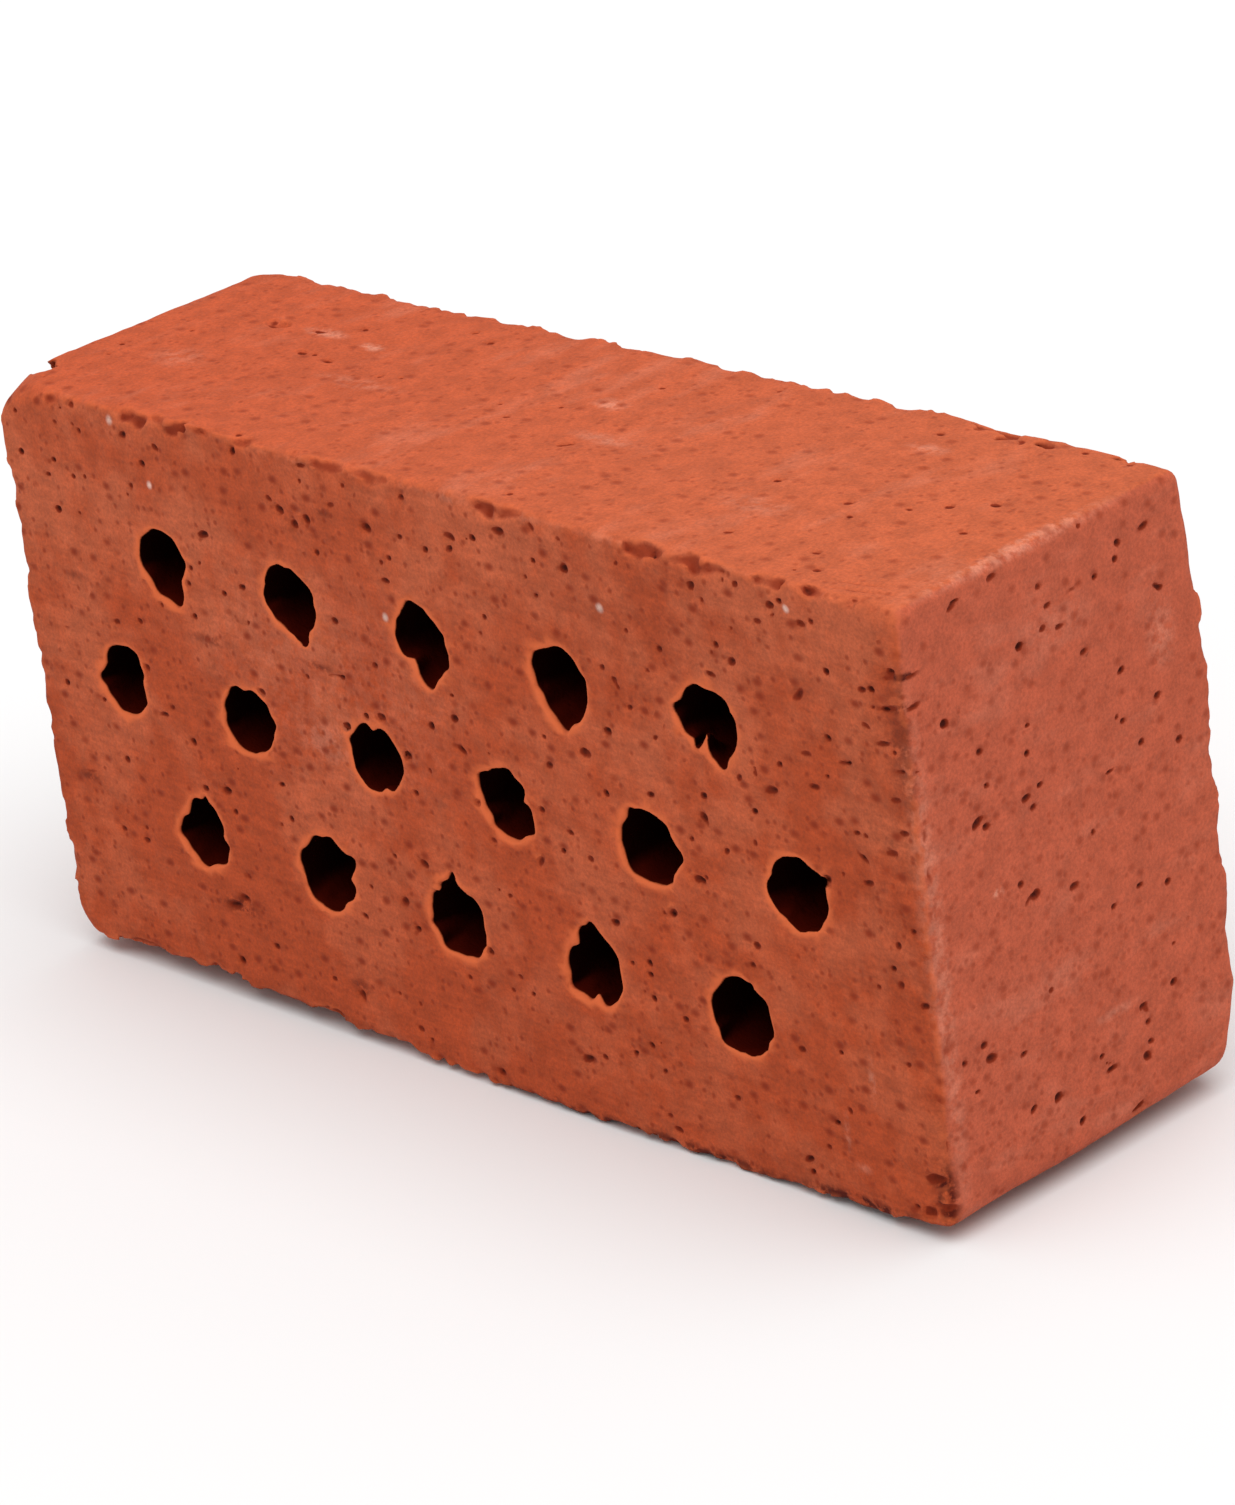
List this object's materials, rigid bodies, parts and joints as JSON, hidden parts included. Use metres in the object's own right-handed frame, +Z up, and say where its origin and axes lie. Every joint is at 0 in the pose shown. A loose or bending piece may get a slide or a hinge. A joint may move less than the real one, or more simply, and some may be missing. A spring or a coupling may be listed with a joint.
{
  "type": "perforated clay brick",
  "caption": "Wire-cut brick of fired red clay with staggered rows of round cores running through its thickness between the bed faces.",
  "frame": {"origin": "centre of the stretcher face that the brick stands on", "axes": "+X along the length, +Y through the thickness along the cores, +Z up across the width"},
  "size_m": [0.215, 0.065, 0.1025],
  "materials": {
    "fired_clay": "matte"
  },
  "bodies": {
    "root": {"brick_body": "fired_clay"}
  },
  "joints": []
}
